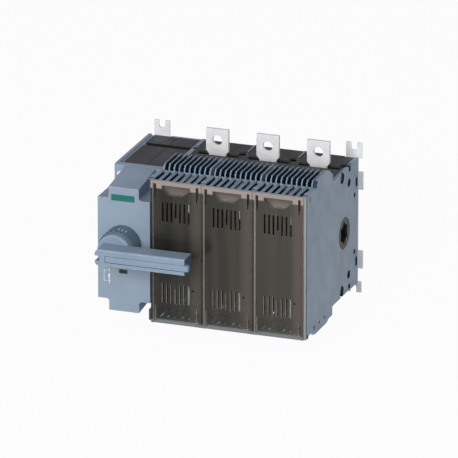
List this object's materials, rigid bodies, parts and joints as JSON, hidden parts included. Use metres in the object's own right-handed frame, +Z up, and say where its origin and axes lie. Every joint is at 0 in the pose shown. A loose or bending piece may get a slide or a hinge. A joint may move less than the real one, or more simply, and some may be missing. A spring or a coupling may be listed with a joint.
{
  "type": "fuse switch disconnector",
  "caption": "Fuse switch disconnector with a rotary lever drive on its left, smoke-tinted hinged fuse covers, finned vents and flat bolt-on terminals.",
  "frame": {"origin": "in the mounting plane at the back, at the switch shaft's height and the middle of the width", "axes": "+Z up towards the line terminals, -Y out of the front, +X towards the shaft socket"},
  "size_m": [0.2411, 0.2049, 0.1944],
  "materials": {
    "blue_grey": "fine moulded grain, semi-matt",
    "dark_grey": "moulded, matt",
    "collar_grey": "moulded, semi-matt",
    "lever_grey": "smooth moulded, semi-matt",
    "slide_grey": "smooth moulded, semi-matt",
    "window_black": "polished",
    "smoke_cover": "clear, smoke tinted",
    "drum_black": "moulded, matt",
    "tinned_copper": "tin plated",
    "silvered_copper": "silver plated",
    "copper": "drawn copper bar, silvered tips",
    "steel": "zinc plated",
    "zinc_sheet": "bright zinc plated sheet"
  },
  "bodies": {
    "housing": {"drive_housing": "blue_grey", "drive_front_cover": "blue_grey", "drive_cap_left": "dark_grey", "drive_cap_right": "dark_grey", "drive_screws": "steel", "position_window": "window_black", "handle_collar": "collar_grey", "gear_frame": "steel", "end_plate_left": "blue_grey", "end_plate_right": "blue_grey", "mounting_bracket_left": "zinc_sheet", "mounting_bracket_right": "zinc_sheet", "tie_rods": "steel", "partition_1": "blue_grey", "partition_2": "blue_grey", "chamber_front_1": "dark_grey", "chamber_rear_1": "dark_grey", "splitter_plates_1": "steel", "line_terminal_1": "tinned_copper", "load_terminal_1": "tinned_copper", "fuse_jaw_top_1": "silvered_copper", "fuse_jaw_bottom_1": "silvered_copper", "vent_grille_top_1": "blue_grey", "vent_grille_bottom_1": "blue_grey", "chamber_front_2": "dark_grey", "chamber_rear_2": "dark_grey", "splitter_plates_2": "steel", "line_terminal_2": "tinned_copper", "load_terminal_2": "tinned_copper", "fuse_jaw_top_2": "silvered_copper", "fuse_jaw_bottom_2": "silvered_copper", "vent_grille_top_2": "blue_grey", "vent_grille_bottom_2": "blue_grey", "chamber_front_3": "dark_grey", "chamber_rear_3": "dark_grey", "splitter_plates_3": "steel", "line_terminal_3": "tinned_copper", "load_terminal_3": "tinned_copper", "fuse_jaw_top_3": "silvered_copper", "fuse_jaw_bottom_3": "silvered_copper", "vent_grille_top_3": "blue_grey", "vent_grille_bottom_3": "blue_grey"},
    "lever": {"handle_lever": "lever_grey", "handle_spindle": "steel", "spindle_gear": "steel"},
    "padlock_bar": {"padlock_slide": "slide_grey"},
    "switch_shaft": {"drive_shaft": "drum_black", "shaft_gear": "steel", "contact_drum_1": "drum_black", "contact_bars_1": "copper", "contact_drum_2": "drum_black", "contact_bars_2": "copper", "contact_drum_3": "drum_black", "contact_bars_3": "copper"},
    "cover_1": {"fuse_cover_1": "smoke_cover"},
    "cover_2": {"fuse_cover_2": "smoke_cover"},
    "cover_3": {"fuse_cover_3": "smoke_cover"}
  },
  "joints": [
    {"name": "lever_turn", "type": "hinge", "parent": "housing", "child": "lever", "pos_m": [-0.08945, -0.1548, 0], "axis": [0, 1, 0], "range_deg": [0, 90]},
    {"name": "padlock_pull", "type": "slide", "parent": "lever", "child": "padlock_bar", "axis": [1, 0, 0], "range_m": [0, 0.01]},
    {"name": "shaft_turn", "type": "hinge", "parent": "housing", "child": "switch_shaft", "pos_m": [0, -0.0461, 0], "axis": [1, 0, 0], "range_deg": [0, 90]},
    {"name": "cover_1_swing", "type": "hinge", "parent": "housing", "child": "cover_1", "pos_m": [-0.0259, -0.1622, -0.0753], "axis": [1, 0, 0], "range_deg": [0, 9]},
    {"name": "cover_2_swing", "type": "hinge", "parent": "housing", "child": "cover_2", "pos_m": [0.0304, -0.1622, -0.0753], "axis": [1, 0, 0], "range_deg": [0, 90]},
    {"name": "cover_3_swing", "type": "hinge", "parent": "housing", "child": "cover_3", "pos_m": [0.0867, -0.1622, -0.0753], "axis": [1, 0, 0], "range_deg": [0, 90]}
  ],
  "couplings": [
    {"joint": "shaft_turn", "follows": "lever_turn", "ratio": 1}
  ]
}
